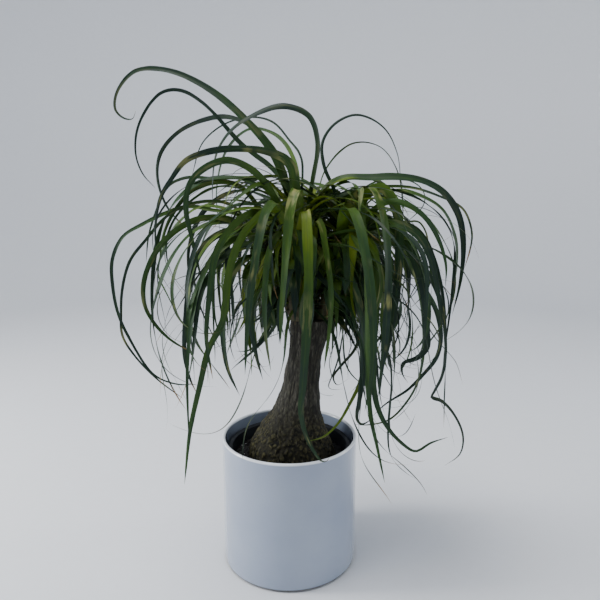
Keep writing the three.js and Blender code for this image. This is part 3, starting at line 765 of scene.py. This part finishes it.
def stem_material():
    """Young stems, straw brown and olive green in patches, with painted shade where their streaks dip,
    and a dark edge to each leaf scar.
    """
    made, tree = new_material("young_stem")
    scar, _, _ = parts_of(tree, "scars")
    streaks = grain(tree, 300, 4, 0.6, upright=0.15)
    patches = grain(tree, 45, 3)
    colour = mix(tree, remap(tree, patches, 0.35, 0.65), *YOUNG_STEM)
    # Painted shade: the stem darkens where its streaks dip, in the bump's hollows.
    colour = mix(tree, remap(tree, streaks, 0.7, 0.3), colour, STEM_GRAIN_SHADE, "MULTIPLY")
    return finished(made, {
        "Base Color": mix(tree, remap(tree, scar, 0.6, 1), colour, SCAR_EDGE),
        "Roughness": remap(tree, streaks, 0.2, 0.8, 0.6, 0.85),
        "Normal": bump(tree, streaks, 0.5, 0.4 * MM),
    })


def ceramic_material():
    """White glaze painted in the grey-blue of its shade, a painted highlight on its lip, painted shadow
    at its foot.
    """
    made, tree = new_material("glazed_ceramic")
    clouds = grain(tree, 14, 3)
    specks = grain(tree, 900, 2)
    ripples = grain(tree, 30, 2, upright=0.6)
    colour = mix(tree, remap(tree, clouds, 0.3, 0.7), *SHADED_GLAZE)
    colour = mix(tree, remap(tree, specks, 0.3, 0.22, 0, 0.5), colour, GLAZE_SPECK)
    height = node(tree, "SeparateXYZ", {0: object_place(tree)}).outputs[2]
    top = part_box("cover_pot")[1].z
    # Painted highlight: the glaze turns near white on its lip, where the light falls.
    lip = remap(tree, height, top - 0.7 * COVER_WALL, top - 0.35 * COVER_WALL)
    colour = mix(tree, lip, colour, GLAZE_LIP_HIGHLIGHT)
    return finished(made, {
        # Painted shadow round the foot.
        "Base Color": mix(tree, remap(tree, height, FOOT_SHADOW_HEIGHT, 0.6 * FOOT_SHADOW_HEIGHT), colour, FOOT_SHADOW),
        "Roughness": remap(tree, clouds, 0.3, 0.7, 0.14, 0.2),
        "Coat Weight": 0.8,
        "Coat Roughness": 0.06,
        "Normal": bump(tree, ripples, 0.12, MM),
    })


def plastic_material():
    """Blue-black moulded plastic with a little dust, scuffed round its side."""
    made, tree = new_material("black_plastic")
    scuffs = grain(tree, 120, 5, 0.65, upright=4)
    dust = grain(tree, 25, 4)
    return finished(made, {
        "Base Color": mix(tree, remap(tree, dust, 0.45, 0.75, 0, 0.3), *PLASTIC),
        "Roughness": remap(tree, scuffs, 0.3, 0.7, 0.5, 0.8),
        "Normal": bump(tree, scuffs, 0.2, 0.2 * MM),
    })


def soil_material():
    """Dark damp potting mix with paler grains."""
    made, tree = new_material("potting_soil")
    grains = grain(tree, 380, 6, 0.7)
    clods = grain(tree, 90, 4, 0.6)
    colour = mix(tree, remap(tree, clods, 0.3, 0.7), *EARTH)
    return finished(made, {
        "Base Color": mix(tree, remap(tree, grains, 0.62, 0.75), colour, EARTH_GRAIN),
        "Roughness": remap(tree, grains, 0.3, 0.7, 0.75, 1),
        "Normal": bump(tree, grains, 0.8, 0.9 * MM),
    })


def perlite_material():
    """White volcanic grains with a sandy tooth."""
    made, tree = new_material("perlite")
    grains = grain(tree, 700, 3)
    return finished(made, {
        "Base Color": mix(tree, remap(tree, grains, 0.35, 0.65), *PERLITE),
        "Roughness": 0.9,
        "Normal": bump(tree, grains, 0.5, 0.3 * MM),
    })


def floor_material():
    """A plain pale surface, very slightly mottled."""
    made, tree = new_material("floor")
    mottling = grain(tree, 60, 3)
    return finished(made, {"Base Color": mix(tree, mottling, *BACKDROP), "Roughness": 0.7})


# ---- pots and soil ----


def cover_pot(material):
    """A straight glazed wall with a round lip, on a foot ring with a shallow hollow inside."""
    _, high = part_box("cover_pot")
    radius, top = high.x, high.z
    inner, lip = radius - COVER_WALL, COVER_WALL / 2
    ring = radius - FOOT_ROUND - FOOT_RING
    cove = COVER_FLOOR + COVER_COVE
    rows_out, rows_in = COVER_ROWS
    profile = [(0, FOOT_RECESS), (ring - FOOT_RECESS / 2, FOOT_RECESS)]
    profile += rounded(ring + RING_ROUND, RING_ROUND, RING_ROUND, 180, 270, 3)
    profile += rounded(radius - FOOT_ROUND, FOOT_ROUND, FOOT_ROUND, -90, 0)
    profile += [(radius, z) for z in np.linspace(FOOT_ROUND, top - lip, rows_out)[1:-1]]
    profile += rounded(radius - lip, top - lip, lip, 0, 180, 12)
    profile += [(inner, z) for z in np.linspace(top - lip, cove, rows_in)[1:-1]]
    profile += rounded(inner - COVER_COVE, cove, COVER_COVE, 0, -90, 5)
    profile += [(0, COVER_FLOOR)]
    piece("cover_pot_glazed", *lathe(profile), material, "glazed_ceramic", ["cover_pot"])


def nursery_wall():
    """The pot's radius at its foot, under its rim and at its rim, and its lowest and highest points."""
    points, _, _ = welded("nursery_pot")
    low, high = points[:, 2].min(), points[:, 2].max()
    reach = np.hypot(points[:, 0], points[:, 1])
    foot = reach[points[:, 2] < low + 1.5 * NURSERY_CORNER].max()
    under = high - NURSERY_RIM_DEPTH
    wall = reach[np.abs(points[:, 2] - under) < LEVEL_SLACK].min()
    return foot, wall, reach.max(), low, high


def drill_holes(pot, places):
    """Cuts the drain holes through a pot's floor."""
    work = bmesh.new()
    for place in places:
        bmesh.ops.create_cone(
            work, cap_ends=True, segments=32, radius1=DRAIN_RADIUS, radius2=DRAIN_RADIUS,
            depth=4 * NURSERY_WALL, matrix=Matrix.Translation(place),
        )
    mesh = bpy.data.meshes.new("drills")
    work.to_mesh(mesh)
    work.free()
    drills = placed("drills", mesh)
    cut = pot.modifiers.new("drain_holes", "BOOLEAN")
    cut.operation, cut.object = "DIFFERENCE", drills
    drilled = pot.evaluated_get(bpy.context.evaluated_depsgraph_get())
    pot.data = bpy.data.meshes.new_from_object(drilled)
    pot.modifiers.clear()
    bpy.data.objects.remove(drills)
    bpy.data.meshes.remove(mesh)


def nursery_pot(material):
    """A thin tapered pot with a rolled rim and drain holes."""
    foot, wall, rim, low, high = nursery_wall()
    under, t, corner = high - NURSERY_RIM_DEPTH, NURSERY_WALL, NURSERY_CORNER
    slope = (wall - foot) / (under - low)
    heights = np.linspace(low + corner, under, NURSERY_ROWS)
    profile = [(0, low)] + rounded(foot - corner, low + corner, corner, -90, -10, 4)
    profile += [(foot + slope * (z - low), z) for z in heights[1:]]
    profile += [(rim, under + RIM_SLANT)] + rounded(rim - t / 2, high - t / 2, t / 2, 0, 180, 6)
    profile += [(wall - t + RIM_FLARE, high - corner)]
    profile += [(foot + slope * (z - low) - t, z) for z in heights[::-1]]
    profile += [(foot - 1.5 * corner, low + t), (0, low + t)]
    pot = piece("nursery_pot_moulded", *lathe(profile), material, "black_plastic", ["nursery_pot"])
    drill_holes(pot, circle(DRAIN_CIRCLE, low, angles_round(DRAIN_COUNT)))


def soil_shape():
    """The soil's top edge, heap and foot, each as (radius, height)."""
    points, _, _ = welded("soil")
    reach = np.hypot(points[:, 0], points[:, 1])
    top, bottom = points[:, 2].max(), points[:, 2].min()
    edge = points[np.argmax(reach), 2]
    heap = reach[points[:, 2] > top - LEVEL_SLACK].max()
    foot = reach[points[:, 2] < bottom + LEVEL_SLACK].max()
    return (reach.max(), edge), (heap, top), (foot, bottom)


def soil_height(x, y, shape):
    """Height of the soil's rough top."""
    (rim, edge), (heap, top), _ = shape
    slope = np.interp(np.hypot(x, y), [heap, rim], [top, edge])
    flat = np.c_[x, y, x * 0]
    return slope + lumps(flat, SOIL_LUMPS) - SOIL_SINK


def soil(material):
    """The soil with its rough top. Returns its shape, for what lies on it."""
    shape = soil_shape()
    (rim, edge), _, (foot, bottom) = shape
    angles = angles_round(SOIL_COLUMNS)
    rings = []
    for share in np.linspace(0, 1, SOIL_WALL_ROWS):
        height = bottom + (edge - SOIL_EDGE - bottom) * share
        rings.append(circle(foot + (rim - foot) * share, height, angles))
    for share in np.linspace(1, SOIL_MIDDLE, SOIL_RINGS):
        x, y = rim * share * np.cos(angles), rim * share * np.sin(angles)
        rings.append(list(zip(x, y, soil_height(x, y, shape))))
    centre = soil_height(np.zeros(1), np.zeros(1), shape)[0]
    points, faces = capped_rings(rings, (0, 0, bottom), (0, 0, centre))
    piece("soil_rough", points, faces, material, "potting_soil", ["soil"])
    return shape


def ball():
    """Points and faces of a coarse ball of radius 1."""
    work = bmesh.new()
    bmesh.ops.create_icosphere(work, subdivisions=1, radius=1)
    work.verts.index_update()
    points = np.array([v.co for v in work.verts])
    faces = [tuple(v.index for v in face.verts) for face in work.faces]
    work.free()
    return points, faces


def crumbs(name, material, shape, count, sizes, draw):
    """Lumps strewn on the soil between the caudex and the pot's wall."""
    rim = shape[0][0]
    mould, mould_faces = ball()
    strewn = []
    for _ in range(count):
        angle, size = draw.uniform(0, 2 * math.pi), draw.uniform(*sizes)
        reach = draw.uniform(*CRUMB_ZONE) * (rim - size)
        x, y, _ = circle(reach, 0, [angle])[0]
        z = soil_height(np.array([x]), np.array([y]), shape)[0]
        form = 1 + CRUMB_ROUGHNESS * field(mould + draw.uniform(0, 50, 3), 1.3)
        squash = draw.uniform(*CRUMB_SQUASH, 3)
        points = mould * form[:, None] * squash * size + (x, y, z + CRUMB_LIFT * size)
        strewn.append((points, mould_faces, {}))
    points, faces, _ = joined(strewn)
    piece(name, points, faces, material, "potting_soil")


# ---- trunk and shoots ----


def plate_cracks(places):
    """How near each place is to a crack between corky plates: 1 in it, 0 well inside a plate."""
    warp = np.stack([field(places + k, PLATE_WARPS) for k in range(3)], axis=1)
    gaps = []
    for place in places * (1, 1, 0.8) / PLATE_SIZE + PLATE_WARP * warp:
        near = noise.voronoi(Vector(place))[0]
        gaps.append(near[1] - near[0])
    return 1 - ease(gaps, *CRACK_EDGES)


def bark_relief(places):
    """How deep the bark is cut at each place, how cracked it is and how corky, both from 0 to 1."""
    wavering = places[:, 2] + CAUDEX_WAVER * field(places, CAUDEX_WAVES)
    corky = 1 - ease(wavering, CAUDEX_TOP - CAUDEX_BLEND, CAUDEX_TOP)
    fissures = 0
    for number, (gap, width, depth) in enumerate(FISSURES):
        # A fissure runs where the noise is near 0.
        drawn = field(places * (1, 1, FISSURE_STRETCH) + 3 * number, 1 / gap)
        fissures = fissures + depth * np.exp(-((drawn / width) ** 2))
    fissures = np.clip(fissures, 0, 1)
    cracks = plate_cracks(places)
    cut = (1 - corky) * fissures * FISSURE_DEPTH
    cut = cut + corky * np.clip(cracks + PLATE_FISSURES * fissures, 0, 1) * PLATE_DEPTH
    return cut, fissures * (1 - corky) + cracks * corky, corky


def trunk(material):
    """The trunk's own outline with bark on it, and its sawn top."""
    centres, rings = stem_rings("trunk")
    heights, sides = centres[:, 2], rings.shape[1]
    reach = np.linalg.norm((rings - centres[:, None])[:, :, :2], axis=2)
    wrap = np.arange(-TRUNK_OVERLAP, sides + TRUNK_OVERLAP)
    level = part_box("soil")[1].z
    buried = np.linspace(heights[0], level - BURIED_DEPTH, BURIED_ROWS)[:-1]
    above = np.arange(level - BURIED_DEPTH, heights[-1], TRUNK_ROW)
    rows = np.concatenate([buried, above, heights[-1:]])
    angles = angles_round(TRUNK_COLUMNS)
    by_height = smooth(heights, reach[:, wrap % sides], rows)
    reach = smooth(wrap * 2 * math.pi / sides, by_height.T, angles).T
    centre = smooth(heights, centres, rows)

    spokes = np.stack([np.cos(angles), np.sin(angles), angles * 0], axis=1)
    places = (reach[:, :, None] * spokes + rows[:, None, None] * (0, 0, 1)).reshape(-1, 3)
    cut, shaded_cracks, corky = bark_relief(places)
    relief = (lumps(places, BARK_LUMPS) - cut).reshape(reach.shape)
    start, full = (level - depth for depth in RELIEF_DEPTHS)
    reach = reach + relief * ease(rows, start, full)[:, None] - BARK_SINK
    points = (reach[:, :, None] * spokes + centre[:, None]).reshape(-1, 3)

    edge = points[-TRUNK_COLUMNS:] - centre[-1]
    sawn = [centre[-1] + edge * share - (0, 0, TOP_STEP) for share in TOP_RINGS]
    # The sawn top gets painted shade through its crack mark.
    sawn_marks = np.tile([TOP_SHADE, 0, 0], (TRUNK_COLUMNS * len(TOP_RINGS), 1))
    marks = np.concatenate([np.stack([shaded_cracks, corky, corky * 0], axis=1), sawn_marks])
    points = np.concatenate([points, *sawn])
    faces = tube_faces(len(rows) + len(TOP_RINGS), TRUNK_COLUMNS)
    piece("trunk_bark", points, faces, material, "bark", ["trunk"], {"bark": marks})


def shoot(name, material):
    """A young stem ringed by the scars of its old leaf bases. Returns its middle line and radius."""
    centres, rings = stem_rings("shoot_" + name)
    radii = np.linalg.norm(rings - centres[:, None], axis=2).mean(1)
    run = run_of(centres)
    rows = int(run[-1] / SHOOT_ROW)
    at = np.linspace(0, run[-1], rows)
    centre = smooth(run, centres, at)
    radius = np.interp(at, run, radii)
    along = unit(np.gradient(centre, axis=0))
    across = unit(np.cross(along, (0, 1, 0)))
    beside = np.cross(along, across)
    angles = angles_round(SHOOT_COLUMNS)
    # The scars climb in spirals with a scalloped edge, each widest at its foot.
    turns = SCAR_SPIRALS * angles / (2 * math.pi) + SCALLOP_DEPTH * np.sin(SCALLOPS * angles)
    scar = (at[:, None] / SCAR_HEIGHT + turns) % 1
    wavering = STEM_WAVER * np.sin(9 * angles + at[:, None] * 300)
    reach = radius[:, None] * (1 + SCAR_DEPTH * (1 - scar) + wavering)
    spokes = np.cos(angles)[:, None] * across[:, None] + np.sin(angles)[:, None] * beside[:, None]
    points = (centre[:, None] + reach[:, :, None] * spokes).reshape(-1, 3)
    points[:SHOOT_COLUMNS, 2] = centres[0, 2]
    marks = {"scars": np.stack([scar, scar * 0, scar * 0], axis=2).reshape(-1, 3)}
    faces = tube_faces(rows, SHOOT_COLUMNS)
    piece(f"shoot_{name}_stem", points, faces, material, "young_stem", ["shoot_" + name], marks)
    return centres, radii.mean()


# ---- the leaves ----


def usual_look(draw):
    """A leaf's look, drawn by chance: three in five have a dry tip."""
    return {
        "tone": draw.uniform(0.15, 0.6),
        "ageing": draw.uniform(0.3, 0.65),
        "pale_highlight": max(0.0, draw.uniform(-1.0, 0.8)),
        "dry": draw.choice([GREEN, GREEN, 0.97, 0.93, 0.88]),
    }


def leaves(material, draw):
    """Redraws every leaf of the frame."""
    for number, name in enumerate(sorted(n for n in NODES if n.startswith("leaf_"))):
        look = {**usual_look(draw), **LOOKS.get(name.removeprefix("leaf_"), {})}
        points, faces, marks = blade(
            leaf_path(name), BLADE_STEP, BLADE_POINTS, FRAME_ROLL, look, number + SEED_OFFSET
        )
        piece(name + "_blade", points, faces, material, "leaf", [name], marks)


def clear_room():
    """A test of whether a grown leaf's middle line keeps to its room, clear of pot and trunk.

    lift raises the hem for one leaf, so that the leaves end at many heights. most is how far it
    may reach from the trunk's top.
    """
    low, high = (np.array(corner) for corner in CAD_BOX)
    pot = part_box("cover_pot")[1]
    centres, rings = stem_rings("trunk")
    heights, top_x = centres[:, 2], centres[-1, 0]
    reaches = np.linalg.norm((rings - centres[:, None])[:, :, :2], axis=2).max(1)

    def fits(middle, lift, most):
        x, y, height = middle.T
        radius = np.hypot(x, y)
        outside = (middle < low + BOX_ROOM) | (middle > high - BOX_ROOM)
        too_far = np.hypot(x - top_x, y) > most
        over_tent = height > TENT_TOP - TENT_FALL * radius
        beside = np.maximum(np.abs(x - top_x) - HEM_HALF, 0)
        under_hem = height < HEM_HEIGHT + lift - HEM_FALL * beside
        in_pot = (radius < pot.x + SIDE_ROOM) & (height < pot.z + RIM_ROOM)
        from_trunk = np.hypot(x - np.interp(height, heights, centres[:, 0]), y)
        near_trunk = from_trunk < np.interp(height, heights, reaches) + TRUNK_ROOM
        in_trunk = (height < heights[-1] + TRUNK_ROOM) & near_trunk
        in_front = (np.abs(x - top_x + FRONT_SHIFT) < FRONT_HALF) & (y < -FRONT_DEPTH)
        wrong = too_far | over_tent | under_hem | in_pot | in_trunk | in_front
        return not (outside.any() or wrong.any())

    return fits


def foliage(kind, shoots, fits, material, draw):
    """Grows the leaves of one kind, and joins those of each shoot in a few pieces."""
    habit = KINDS[kind]
    groups = {stem: [] for stem in SHOOTS}
    made, tries = 0, 0
    while made < habit["count"] and tries < TRIES * habit["count"]:
        tries += 1
        stem = SHOOTS[draw.choice(len(SHOOTS), p=SHOOT_SHARES)]
        spine, radius = shoots[stem]
        up = draw.uniform(*habit["at"])
        heading = draw.uniform(0, 2 * math.pi)
        axis = [np.interp(up, np.linspace(0, 1, len(spine)), spine[:, k]) for k in range(3)]
        root = np.array(axis) + circle(radius, 0, [heading])[0]
        length, width = draw.uniform(*habit["length"]), draw.uniform(*habit["width"]) * MM
        rise, hang, curl = (math.radians(draw.uniform(*habit[k])) for k in ("rise", "hang", "curl"))
        arch, seed = draw.uniform(*habit["arch"]), draw.uniform(*GROWN_SEEDS)
        path = grown(root, heading, rise, hang, length, width, arch, curl, habit["wander"], seed)
        if not fits(path[0], draw.uniform(*habit["lift"]), habit["reach"]):
            continue
        look = {**usual_look(draw), "tone": draw.uniform(*habit["tone"])}
        groups[stem].append(blade(path, GROWN_STEP, habit["points"], GROWN_ROLL, look, seed))
        made += 1
    for stem, blades in groups.items():
        for start in range(0, len(blades), PIECE_LEAVES):
            points, faces, marks = joined(blades[start : start + PIECE_LEAVES])
            name = f"{kind}_leaves_{stem}_{start // PIECE_LEAVES + 1}"
            piece(name, points, faces, material, "leaf", marks=marks)


# ---- the room, the light and the camera ----


def studio():
    """A pale floor that curves up all round, so that every view has the same backdrop."""
    wall = FLOOR_FLAT + FLOOR_CURVE
    profile = [(0, -FLOOR_GAP), (FLOOR_FLAT, -FLOOR_GAP)]
    profile += rounded(FLOOR_FLAT, FLOOR_CURVE - FLOOR_GAP, FLOOR_CURVE, -90, 0, 16)
    profile += [(wall, FLOOR_TOP), (wall + FLOOR_WALL, FLOOR_TOP)]
    profile += [(wall + FLOOR_WALL, FLOOR_UNDERSIDE), (0, FLOOR_UNDERSIDE)]
    solid("floor", *lathe(profile, FLOOR_STEPS), floor_material())


def light():
    """Soft light from a window at the left, the ceiling, a weak fill at the right, and the sky."""
    for name, (place, size, watts, colour) in LAMPS.items():
        lamp = bpy.data.lights.new(name, "AREA")
        lamp.shape = "RECTANGLE"
        lamp.size, lamp.size_y = size
        lamp.energy, lamp.color = watts, colour
        made = placed(name, lamp)
        made.location = place
        aim = Vector(LIT_PLACE) - Vector(place)
        made.rotation_euler = aim.to_track_quat("-Z", "Y").to_euler()
    world = bpy.data.worlds.new("sky")
    bpy.context.scene.world = world
    world.use_nodes = True
    sky = world.node_tree.nodes["Background"]
    sky.inputs["Color"].default_value = (*SKY_COLOUR, 1)
    sky.inputs["Strength"].default_value = SKY_STRENGTH


def camera():
    lens = bpy.data.cameras.new("camera")
    lens.lens, lens.sensor_width = CAMERA_LENS_MM, SENSOR_MM
    made = placed("camera", lens)
    made.location = CAMERA_PLACE
    made.rotation_euler = (math.radians(CAMERA_TILT_DEGREES), 0, 0)
    bpy.context.scene.camera = made


camera()
light()
studio()
draw = np.random.default_rng(SEED)
cover_pot(ceramic_material())
nursery_pot(plastic_material())
earth = soil_material()
shape = soil(earth)
crumbs("soil_crumbs", earth, shape, CRUMB_COUNT, CRUMB_SIZES, draw)
crumbs("soil_perlite", perlite_material(), shape, PERLITE_COUNT, PERLITE_SIZES, draw)
trunk(bark_material())
stem = stem_material()
shoots = {name: shoot(name, stem) for name in SHOOTS}
green = leaf_material()
leaves(green, draw)
fits = clear_room()
for kind in KINDS:
    foliage(kind, shoots, fits, green, draw)
